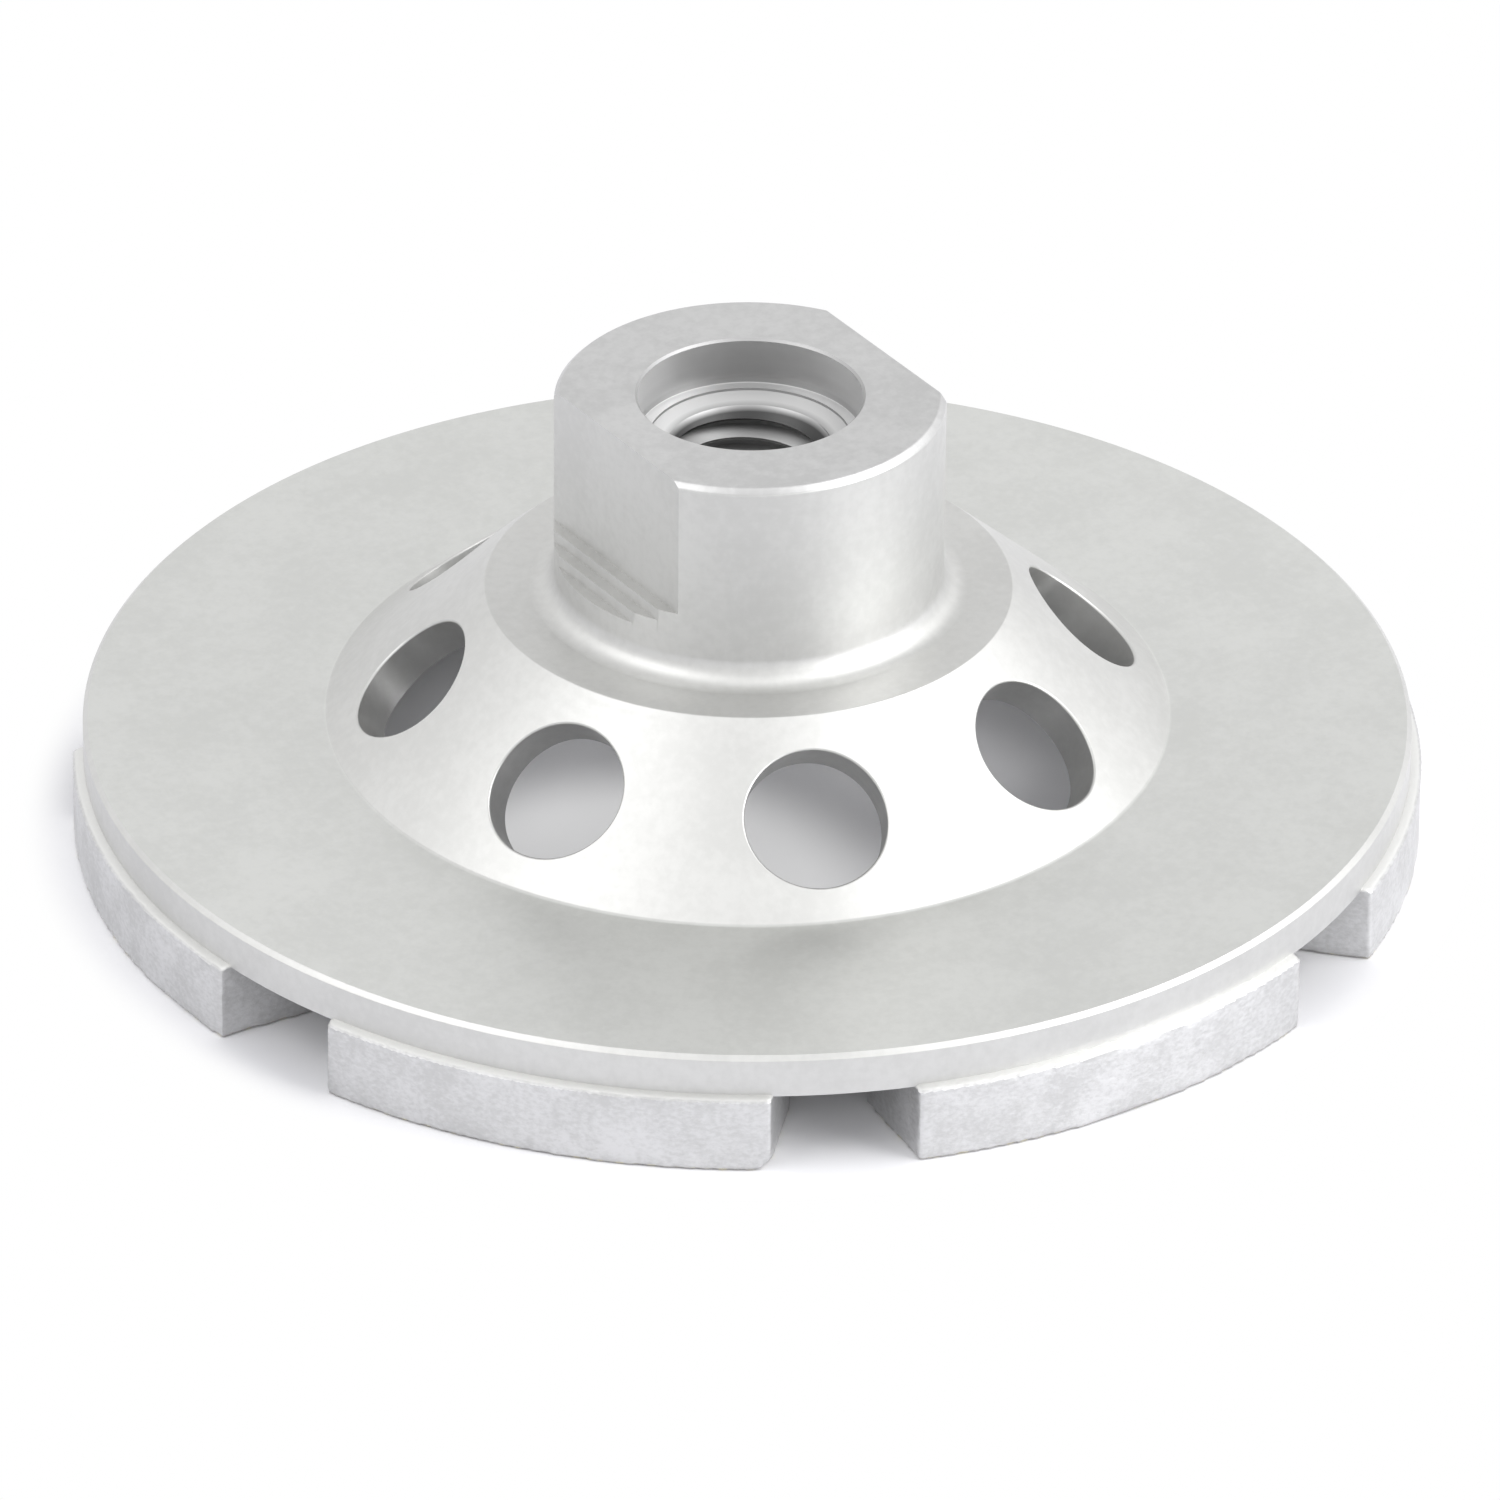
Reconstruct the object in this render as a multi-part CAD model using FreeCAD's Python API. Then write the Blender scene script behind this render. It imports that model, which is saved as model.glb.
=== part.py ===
"""Diamond cup grinding wheel with a threaded hub.

Frame: +Z runs up the spindle axis, the origin is on that axis in the plane of the grinding faces,
and the two wrench flats are square to X. Lengths are millimetres and angles are degrees.
"""
import FreeCAD, Part
import os
from math import asin, atan2, cos, hypot, pi, radians, sin, sqrt, tan
from FreeCAD import Vector

# Diamond segments
wheel_diameter = 115.0       # over the outer faces of the segments
segment_count = 7
segment_height = 6.6
segment_width = 10.0         # from the outer face to the inner face
segment_gap = 12.4           # clear gap between two segments, at their outer corners
segment_end_turn = 12.0      # end faces are turned this far off the radius, so the gap narrows inwards
segment_first_angle = -90.0  # middle of the first segment
segment_corner_radius = 0.4  # upright edges

# Flange
rim_inset = 1.0              # the rim stands this far inside the outer faces of the segments
flange_thickness = 3.8
rim_chamfer = 0.4

# Dome
dome_foot_diameter = 71.8    # where the cone leaves the flange
dome_height = 12.1           # from the flange to the shoulder
shoulder_diameter = 44.7
dome_wall = 3.5              # square to the cone
crown_thickness = 4.5        # plate between the shoulder and the hollow
foot_fillet = 0.6
hollow_fillet = 2.0          # inside, between the cone and the ceiling

# Air holes through the dome
hole_count = 8
hole_diameter = 12.0
hole_first_angle = 22.5
hole_chamfer = 0.3

# Hub
hub_diameter = 33.0
hub_height = 18.4            # from the shoulder to the top face
hub_chamfer = 0.7
hub_fillet = 2.5             # where the hub runs out into the shoulder

# Wrench flats
across_flats = 27.0
flat_height = 12.5           # from the top face down to the first cutter step
flat_steps = 3               # steps that the cutter leaves where it runs out
flat_step_drop = 1.05        # height of one step

# Spindle bore
thread_diameter = 14.0       # outside diameter of the spindle thread
thread_chamfer = 1.2         # lead-in at both ends
register_diameter = 19.0     # counterbore that clears the spindle's plain neck
register_depth = 3.9
register_lip = 0.25          # edge break at the mouth of the counterbore

# Heights and radii that follow from the sizes above
segment_radius = wheel_diameter / 2
rim_radius = segment_radius - rim_inset
foot_radius = dome_foot_diameter / 2
shoulder_radius = shoulder_diameter / 2
hub_radius = hub_diameter / 2
thread_radius = thread_diameter / 2
register_radius = register_diameter / 2
hole_radius = hole_diameter / 2

seat_z = segment_height                      # underside of the flange
flange_z = seat_z + flange_thickness         # top of the flange
shoulder_z = flange_z + dome_height
top_z = shoulder_z + hub_height
ceiling_z = shoulder_z - crown_thickness     # top of the hollow
register_z = top_z - register_depth          # floor of the counterbore

cone_angle = atan2(dome_height, foot_radius - shoulder_radius)   # from the horizontal, in radians
clear = 2.0                                  # how far a cutting shape runs past what it cuts
tolerance = 0.01                             # how near a point on a face is taken to lie
edge_samples = 9                             # points looked at along an edge


def outer_cone_radius(z):
    """Radius of the dome's outer cone at height z."""
    return foot_radius - (z - flange_z) / tan(cone_angle)


def inner_cone_radius(z):
    """Radius of the hollow's cone at height z, one wall inside the outer cone."""
    return outer_cone_radius(z) - dome_wall / sin(cone_angle)


def rounded_wire(corners):
    """Closed wire in the XZ plane through corners (r, z, radius), each rounded to its radius."""
    points = [Vector(r, 0, z) for r, z, _ in corners]
    edges = []
    ends = []
    for i, (_, _, radius) in enumerate(corners):
        here = points[i]
        to_last = points[i - 1] - here
        to_next = points[(i + 1) % len(points)] - here
        half_turn = to_last.getAngle(to_next) / 2
        if radius == 0:
            ends.append((here, here))
            continue
        to_last_unit = Vector(to_last).normalize()
        to_next_unit = Vector(to_next).normalize()
        reach = radius / tan(half_turn)
        start = here + to_last_unit * reach
        end = here + to_next_unit * reach
        inward = (to_last_unit + to_next_unit).normalize()
        middle = here + inward * (radius / sin(half_turn) - radius)
        edges.append(Part.Arc(start, middle, end).toShape())
        ends.append((start, end))
    for i, (_, leave) in enumerate(ends):
        arrive = ends[(i + 1) % len(ends)][0]
        edges.append(Part.LineSegment(leave, arrive).toShape())
    return Part.Wire(Part.__sortEdges__(edges))


def turned_blank():
    """Flange, dome and hub as turned from one blank, with the bore and the hollow."""
    corners = [
        (rim_radius, seat_z, 0),
        (rim_radius, flange_z - rim_chamfer, 0),
        (rim_radius - rim_chamfer, flange_z, 0),
        (foot_radius, flange_z, foot_fillet),
        (shoulder_radius, shoulder_z, 0),
        (hub_radius, shoulder_z, hub_fillet),
        (hub_radius, top_z - hub_chamfer, 0),
        (hub_radius - hub_chamfer, top_z, 0),
        (register_radius + register_lip, top_z, 0),
        (register_radius, top_z - register_lip, 0),
        (register_radius, register_z, 0),
        (thread_radius + thread_chamfer, register_z, 0),
        (thread_radius, register_z - thread_chamfer, 0),
        (thread_radius, ceiling_z + thread_chamfer, 0),
        (thread_radius + thread_chamfer, ceiling_z, 0),
        (inner_cone_radius(ceiling_z), ceiling_z, hollow_fillet),
        (inner_cone_radius(seat_z), seat_z, 0),
    ]
    face = Part.Face(rounded_wire(corners))
    return face.revolve(Vector(0, 0, 0), Vector(0, 0, 1), 360)


def flat_cutter():
    """Shape that a milling cutter takes off for the wrench flat on the +X side."""
    flat_x = across_flats / 2
    tread = (hub_radius - flat_x) / flat_steps
    step_z = top_z - flat_height
    profile = [Vector(flat_x, 0, top_z + clear)]
    for step in range(flat_steps):
        z = step_z - step * flat_step_drop
        profile.append(Vector(flat_x + step * tread, 0, z))
        profile.append(Vector(flat_x + (step + 1) * tread, 0, z))
    last = profile[-1]
    profile.append(Vector(hub_radius + clear, 0, last.z))
    profile.append(Vector(hub_radius + clear, 0, top_z + clear))
    face = Part.Face(Part.makePolygon(profile + profile[:1]))
    half_width = hub_radius + clear
    face.translate(Vector(0, -half_width, 0))
    return face.extrude(Vector(0, 2 * half_width, 0))


def hole_cutters():
    """Drills for the air holes, each square to the cone at the middle of its face."""
    middle_radius = (foot_radius + shoulder_radius) / 2
    middle_z = (flange_z + shoulder_z) / 2
    cutters = []
    for i in range(hole_count):
        angle = radians(hole_first_angle + i * 360 / hole_count)
        outward = Vector(sin(cone_angle) * cos(angle), sin(cone_angle) * sin(angle), cos(cone_angle))
        centre = Vector(middle_radius * cos(angle), middle_radius * sin(angle), middle_z)
        start = centre + outward * clear
        depth = dome_wall + 2 * clear
        cutters.append(Part.makeCylinder(hole_radius, depth, start, outward * -1))
    return cutters


def on_outer_cone(point):
    """Whether a point lies on the outer face of the dome."""
    return abs(outer_cone_radius(point.z) - hypot(point.x, point.y)) < tolerance


def hole_edges(body):
    """Edges where the air holes break through the outer face of the dome."""
    edges = []
    for edge in body.Edges:
        if isinstance(edge.Curve, (Part.Line, Part.Circle)):
            continue
        if all(on_outer_cone(point) for point in edge.discretize(edge_samples)):
            edges.append(edge)
    return edges


def wheel_body():
    """One steel piece: hub with wrench flats and bore, drilled dome and flange."""
    body = turned_blank()
    flat = flat_cutter()
    opposite = flat.copy()
    opposite.rotate(Vector(0, 0, 0), Vector(0, 0, 1), 180)
    body = body.cut([flat, opposite] + hole_cutters())
    return body.makeChamfer(hole_chamfer, hole_edges(body))


def segment():
    """One diamond segment with its middle on the +X axis."""
    inner_radius = segment_radius - segment_width
    half_angle = pi / segment_count - asin(segment_gap / 2 / segment_radius)
    outer_corner = Vector(segment_radius * cos(half_angle), segment_radius * sin(half_angle), 0)
    inward_angle = half_angle + pi - radians(segment_end_turn)
    inward = Vector(cos(inward_angle), sin(inward_angle), 0)
    along = outer_corner.dot(inward)
    reach = -along - sqrt(along ** 2 - segment_radius ** 2 + inner_radius ** 2)
    inner_corner = outer_corner + inward * reach
    outer_mirror = Vector(outer_corner.x, -outer_corner.y, 0)
    inner_mirror = Vector(inner_corner.x, -inner_corner.y, 0)
    outline = Part.Wire([
        Part.Arc(outer_mirror, Vector(segment_radius, 0, 0), outer_corner).toShape(),
        Part.LineSegment(outer_corner, inner_corner).toShape(),
        Part.Arc(inner_corner, Vector(inner_radius, 0, 0), inner_mirror).toShape(),
        Part.LineSegment(inner_mirror, outer_mirror).toShape(),
    ])
    solid = Part.Face(outline).extrude(Vector(0, 0, segment_height))
    upright = [edge for edge in solid.Edges if edge.BoundBox.ZLength > segment_height / 2]
    return solid.makeFillet(segment_corner_radius, upright)


def write(node, shape):
    """Save one piece under its node's name and print what it measures."""
    solids = shape.Solids
    piece = solids[0] if len(solids) == 1 else shape
    piece.exportStep(os.path.join("parts", node + ".step"))
    box = piece.BoundBox
    print(f"{node}: valid {piece.isValid()}, solids {len(solids)}, volume {piece.Volume:.1f} mm3, "
          f"X {box.XMin:.2f} to {box.XMax:.2f}, Y {box.YMin:.2f} to {box.YMax:.2f}, "
          f"Z {box.ZMin:.2f} to {box.ZMax:.2f}")


os.makedirs("parts", exist_ok=True)
write("wheel_body", wheel_body())
for number in range(1, segment_count + 1):
    turned = segment()
    turn = segment_first_angle + (number - 1) * 360 / segment_count
    turned.rotate(Vector(0, 0, 0), Vector(0, 0, 1), turn)
    write(f"diamond_segment_{number}", turned)
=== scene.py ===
"""Cup grinding wheel: a turned and drilled steel body, its spindle thread and seven sintered segments.

Sizes in the classes are millimetres and degrees, and meshes are metres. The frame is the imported
model's: +Z runs up the spindle axis, the grinding faces lie in the plane z = 0, and the two wrench
flats are square to X.
"""
import logging
import math
from collections.abc import Callable, Iterator, Mapping, Sequence
from contextlib import contextmanager
from dataclasses import dataclass
from enum import Enum
from typing import Any

import bmesh
import bpy
from mathutils import Matrix, Vector


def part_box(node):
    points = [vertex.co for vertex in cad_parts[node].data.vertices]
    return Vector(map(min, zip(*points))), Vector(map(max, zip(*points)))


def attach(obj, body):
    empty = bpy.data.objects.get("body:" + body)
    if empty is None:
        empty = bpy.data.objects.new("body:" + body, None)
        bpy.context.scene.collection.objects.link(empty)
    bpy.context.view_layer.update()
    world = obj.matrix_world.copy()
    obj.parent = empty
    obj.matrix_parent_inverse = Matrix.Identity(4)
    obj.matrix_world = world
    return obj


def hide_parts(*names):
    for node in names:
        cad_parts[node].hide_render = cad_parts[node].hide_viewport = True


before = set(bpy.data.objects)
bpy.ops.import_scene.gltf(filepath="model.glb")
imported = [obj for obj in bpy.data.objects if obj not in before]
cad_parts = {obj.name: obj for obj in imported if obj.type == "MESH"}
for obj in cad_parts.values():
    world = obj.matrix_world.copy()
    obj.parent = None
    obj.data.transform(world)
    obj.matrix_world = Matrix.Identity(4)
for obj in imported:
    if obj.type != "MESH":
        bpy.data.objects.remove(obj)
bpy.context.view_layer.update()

log = logging.getLogger("cup_wheel")

MM = 0.001
NEAR = 0.01           # how near a point lies to what it is on, in millimetres
SMOOTH_ANGLE = 30.0   # edges that turn by more stay sharp
BODY = "root"

Colour = tuple[float, float, float]


class Pick(Enum):
    """What a selection in edit mode is made of."""

    VERTICES = "VERT"
    EDGES = "EDGE"
    FACES = "FACE"


class Slot(Enum):
    """Material slots that the part's record names."""

    STEEL = "turned_steel"
    SEGMENT = "diamond_segment"


class Value:
    """A number that a shader works out, so that shader maths reads as Python maths."""

    def __init__(self, graph: "Graph", socket: bpy.types.NodeSocket) -> None:
        """Wrap an output socket of one of the graph's nodes."""
        self.graph = graph
        self.socket = socket

    def __add__(self, other: "Value | float") -> "Value":
        """Sum."""
        return self.graph.math("ADD", self, other)

    def __radd__(self, other: float) -> "Value":
        """Sum with a number on the left."""
        return self.graph.math("ADD", other, self)

    def __sub__(self, other: "Value | float") -> "Value":
        """Difference."""
        return self.graph.math("SUBTRACT", self, other)

    def __rsub__(self, other: float) -> "Value":
        """Difference from a number on the left."""
        return self.graph.math("SUBTRACT", other, self)

    def __mul__(self, other: "Value | float") -> "Value":
        """Product."""
        return self.graph.math("MULTIPLY", self, other)

    def __rmul__(self, other: float) -> "Value":
        """Product with a number on the left."""
        return self.graph.math("MULTIPLY", other, self)

    def __truediv__(self, other: "Value | float") -> "Value":
        """Quotient."""
        return self.graph.math("DIVIDE", self, other)

    def sqrt(self) -> "Value":
        """Square root."""
        return self.graph.math("SQRT", self)

    def ramp(self, low: float, high: float) -> "Value":
        """Smooth step from 0 at low to 1 at high."""
        node = self.graph.add(
            "ShaderNodeMapRange",
            {"interpolation_type": "SMOOTHSTEP", "clamp": True},
            {"Value": self, "From Min": low, "From Max": high},
        )
        return Value(self.graph, node.outputs["Result"])


class Graph:
    """The node tree of one material or world."""

    def __init__(self, owner: bpy.types.Material | bpy.types.World) -> None:
        """Start with an empty node tree.

        Args:
            owner: the material or world that the nodes belong to.
        """
        self.owner = owner
        owner.use_nodes = True
        self.tree = owner.node_tree
        self.tree.nodes.clear()

    @classmethod
    def of_material(cls, name: str) -> "Graph":
        """Start a new material's node tree."""
        return cls(bpy.data.materials.new(name))

    def add(
        self,
        kind: str,
        settings: Mapping[str, Any] | None = None,
        inputs: Mapping[str | int, Any] | None = None,
    ) -> bpy.types.Node:
        """Add a node.

        Args:
            kind: the node's type.
            settings: its properties, set first. "stops" is a ramp's list of (place, colour).
            inputs: values, links or wrapped values for its sockets, by name or number.

        Returns:
            The new node.
        """
        node = self.tree.nodes.new(kind)
        for key, value in (settings or {}).items():
            if key == "stops":
                self._set_stops(node, value)
            else:
                setattr(node, key, value)
        for key, value in (inputs or {}).items():
            self._fill(node.inputs[key], value)
        return node

    def _set_stops(self, node: bpy.types.Node, stops: Sequence[tuple[float, Colour]]) -> None:
        """Give a colour ramp its stops."""
        elements = node.color_ramp.elements
        while len(elements) < len(stops):
            elements.new(1.0)
        for element, (place, colour) in zip(elements, stops):
            element.position = place
            element.color = (*colour, 1.0)

    def _fill(self, socket: bpy.types.NodeSocket, value: Any) -> None:
        """Link a socket, or set its value."""
        if isinstance(value, Value):
            self.tree.links.new(value.socket, socket)
        elif isinstance(value, bpy.types.NodeSocket):
            self.tree.links.new(value, socket)
        elif socket.type == "RGBA":
            socket.default_value = (*value, 1.0)
        else:
            socket.default_value = value

    def math(self, operation: str, first: Any, second: Any = 0.0) -> Value:
        """Work out one step of shader maths.

        Args:
            operation: the Math node's operation.
            first: a wrapped value or a number.
            second: the other operand, where the operation has one.

        Returns:
            The result.
        """
        node = self.add("ShaderNodeMath", {"operation": operation}, {0: first, 1: second})
        return Value(self, node.outputs[0])

    def mix(self, factor: Any, first: Any, second: Any) -> bpy.types.NodeSocket:
        """Blend two colours.

        Args:
            factor: 0 gives the first colour and 1 the second.
            first: a colour or a colour socket.
            second: a colour or a colour socket.

        Returns:
            The blended colour's socket.
        """
        node = self.add(
            "ShaderNodeMix",
            {"data_type": "RGBA"},
            {0: factor, 6: first, 7: second},
        )
        return node.outputs[2]

    def place(self) -> "Place":
        """Read where on the piece a point lies.

        Returns:
            The Object coordinates, and their X, Y and Z as values.
        """
        coordinates = self.add("ShaderNodeTexCoord").outputs["Object"]
        parts = self.add("ShaderNodeSeparateXYZ", inputs={0: coordinates}).outputs
        return coordinates, Value(self, parts[0]), Value(self, parts[1]), Value(self, parts[2])

    def vector(self, x: Any, y: Any, z: Any) -> bpy.types.NodeSocket:
        """Join three values into a vector and give its socket."""
        return self.add("ShaderNodeCombineXYZ", inputs={0: x, 1: y, 2: z}).outputs[0]

    def noise(self, place: Any, scale: float, detail: float = 2.0, roughness: float = 0.5) -> Value:
        """Read a noise texture.

        Args:
            place: the vector it is read at.
            scale: how many times it changes in a metre.
            detail: how many finer layers it has.
            roughness: how strong those layers are.

        Returns:
            The noise, around 0.5.
        """
        node = self.add(
            "ShaderNodeTexNoise",
            {"noise_dimensions": "3D"},
            {"Vector": place, "Scale": scale, "Detail": detail, "Roughness": roughness},
        )
        return Value(self, node.outputs["Fac"])

    def bump(self, height: Value, distance: float) -> bpy.types.NodeSocket:
        """Turn a height into a bumped normal.

        Args:
            height: the height, from 0 to 1.
            distance: how tall a height of 1 is, in metres.

        Returns:
            The normal's socket.
        """
        inputs = {"Strength": 1.0, "Distance": distance, "Height": height}
        node = self.add("ShaderNodeBump", None, inputs)
        return node.outputs["Normal"]

    def seen(self) -> Value:
        """Tell what the camera sees, itself or in metal or glass, from what only lights other things.

        Returns:
            1 for camera, glossy and transmission rays, and 0 for the others.
        """
        path = self.add("ShaderNodeLightPath").outputs
        camera = Value(self, path["Is Camera Ray"])
        return camera + Value(self, path["Is Glossy Ray"]) + Value(self, path["Is Transmission Ray"])

    def surface(self, shader: bpy.types.NodeSocket) -> bpy.types.Material:
        """Send a shader to the material's output and return the material."""
        self.add("ShaderNodeOutputMaterial", None, {"Surface": shader})
        return self.owner


Place = tuple[bpy.types.NodeSocket, Value, Value, Value]


@dataclass(frozen=True)
class MetalFinish:
    """Satin metal with marks that run round the spindle axis, or along an upright line."""

    name: str
    colour: Colour
    pale: Colour
    roughness: float = 0.42
    roughness_spread: float = 0.08
    metallic: float = 1.0
    anisotropy: float = 0.3
    mark_spacing: float = 0.35
    mark_height: float = 0.004
    blotch_size: float = 9.0
    mottle_size: float = 0.9

    def marks(self, graph: Graph, place: Place) -> Value:
        """Height of the tool's marks: fine rings round the axis on any turned face.

        Args:
            graph: the material's node tree.
            place: where on the piece a point lies.

        Returns:
            The height, around 0.5.
        """
        _, x, y, z = place
        radius = (x * x + y * y).sqrt()
        rings = graph.vector(radius, 0.0, z)
        return graph.noise(rings, 1.0 / (self.mark_spacing * MM), 3.0, 0.6)

    def blotches(self, graph: Graph, place: Place) -> Value:
        """Broad, faint clouds in the finish, around 0.5."""
        return graph.noise(place[0], 1.0 / (self.blotch_size * MM), 3.0, 0.55)

    def tint(self, graph: Graph, place: Place) -> bpy.types.NodeSocket:
        """Colour of the metal.

        Args:
            graph: the material's node tree.
            place: where on the piece a point lies.

        Returns:
            The colour's socket.
        """
        mottle = graph.noise(place[0], 1.0 / (self.mottle_size * MM), 3.0, 0.6)
        clouds = 0.5 * self.blotches(graph, place) + 0.5 * mottle
        return graph.mix(clouds.ramp(0.35, 0.65), self.colour, self.pale)

    def material(self) -> bpy.types.Material:
        """Build the finish.

        Returns:
            The finished material.
        """
        graph = Graph.of_material(self.name)
        place = graph.place()
        marks = self.marks(graph, place)
        blotches = self.blotches(graph, place)
        spread = 2.0 * self.roughness_spread
        shader = graph.add(
            "ShaderNodeBsdfPrincipled",
            None,
            {
                "Base Color": self.tint(graph, place),
                "Metallic": self.metallic,
                "Roughness": self.roughness - 0.5 * spread + spread * (0.6 * marks + 0.4 * blotches),
                "Anisotropic": self.anisotropy,
                "Normal": graph.bump(marks, self.mark_height * MM),
            },
        )
        return graph.surface(shader.outputs[0])


@dataclass(frozen=True)
class MilledFinish(MetalFinish):
    """Metal with the straight marks that a milling cutter leaves on the wrench flats."""

    stretch: float = 0.06

    def marks(self, graph: Graph, place: Place) -> Value:
        """Height of the cutter's marks, which run along Y.

        Args:
            graph: the material's node tree.
            place: where on the piece a point lies.

        Returns:
            The height, around 0.5.
        """
        _, x, y, z = place
        lines = graph.vector(x, self.stretch * y, z)
        return graph.noise(lines, 1.0 / (self.mark_spacing * MM), 2.0, 0.5)


@dataclass(frozen=True)
class BoreLightAndShadeFinish(MetalFinish):
    """Bored steel with painted light and shade: its colour changes with depth in bands."""

    top_z: float = 0.0
    light_and_shade_bands: tuple[tuple[float, float], ...] = ((0.0, 0.0), (1.0, 1.0))

    def tint(self, graph: Graph, place: Place) -> bpy.types.NodeSocket:
        """Colour of the metal, with painted light and shade that runs from one band to the next.

        Each band is a depth below top_z in millimetres and a share: 0 is colour and 1 is pale.

        Args:
            graph: the material's node tree.
            place: where on the piece a point lies.

        Returns:
            The colour's socket.
        """
        first, last = self.light_and_shade_bands[0][0], self.light_and_shade_bands[-1][0]
        depth = (self.top_z - first - place[3] / MM) / (last - first)
        dark, bright = Vector(self.colour), Vector(self.pale)
        stops = [
            ((level - first) / (last - first), tuple(dark.lerp(bright, share)))
            for level, share in self.light_and_shade_bands
        ]
        return graph.add("ShaderNodeValToRGB", {"stops": stops}, {"Fac": depth}).outputs["Color"]


@dataclass(frozen=True)
class SinteredFinish:
    """Pressed metal powder under a thin coat of silver, with bare hard grains on the grinding face."""

    name: str
    colour: Colour
    pale: Colour
    bare: Colour
    grain: Colour
    braze_and_highlight: Colour
    braze_z: float
    metallic: float = 1.0
    roughness: float = 0.5
    roughness_spread: float = 0.16
    speckle_size: float = 0.55
    cloud_size: float = 4.0
    pit_height: float = 0.05
    grain_size: float = 0.5
    bare_height: float = 0.3

    def material(self) -> bpy.types.Material:
        """Build the finish.

        Returns:
            The finished material.
        """
        graph = Graph.of_material(self.name)
        coordinates, x, y, z = graph.place()
        speckle = graph.noise(graph.vector(x, y, z * 1.7), 1.0 / (self.speckle_size * MM), 4.0, 0.6)
        clouds = graph.noise(coordinates, 1.0 / (self.cloud_size * MM), 3.0, 0.55)
        cells = graph.add(
            "ShaderNodeTexVoronoi",
            {"feature": "F1"},
            {"Vector": coordinates, "Scale": 1.0 / (2.2 * self.grain_size * MM)},
        )
        bare = 1.0 - z.ramp(0.4 * self.bare_height * MM, self.bare_height * MM)
        grains = bare * (1.0 - Value(graph, cells.outputs["Distance"]).ramp(0.2, 0.4))
        silver = graph.mix((0.55 * speckle + 0.45 * clouds).ramp(0.36, 0.64), self.colour, self.pale)
        # Partly painted highlight: the braze fillet above the segment's top is coloured paler, for the
        # braze metal and for the light along the ledge.
        ledge = z.ramp((self.braze_z - 0.02) * MM, (self.braze_z + 0.1) * MM)
        brazed_and_highlit = graph.mix(ledge, silver, self.braze_and_highlight)
        ground = graph.mix(bare * (0.5 + 0.5 * speckle), brazed_and_highlit, self.bare)
        spread = self.roughness_spread
        shader = graph.add(
            "ShaderNodeBsdfPrincipled",
            None,
            {
                "Base Color": graph.mix(grains, ground, self.grain),
                "Metallic": self.metallic,
                "Roughness": self.roughness - 0.5 * spread + spread * speckle - 0.15 * grains,
                "Normal": graph.bump(0.75 * speckle + 0.25 * grains, self.pit_height * MM),
            },
        )
        return graph.surface(shader.outputs[0])


def middle_z(face: bmesh.types.BMFace) -> float:
    """Height of a face's middle, in metres."""
    return face.calc_center_median().z


def start_clean() -> None:
    """Leave edit mode and deselect every object."""
    if bpy.context.object and bpy.context.object.mode != "OBJECT":
        bpy.ops.object.mode_set(mode="OBJECT")
    bpy.ops.object.select_all(action="DESELECT")


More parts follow.
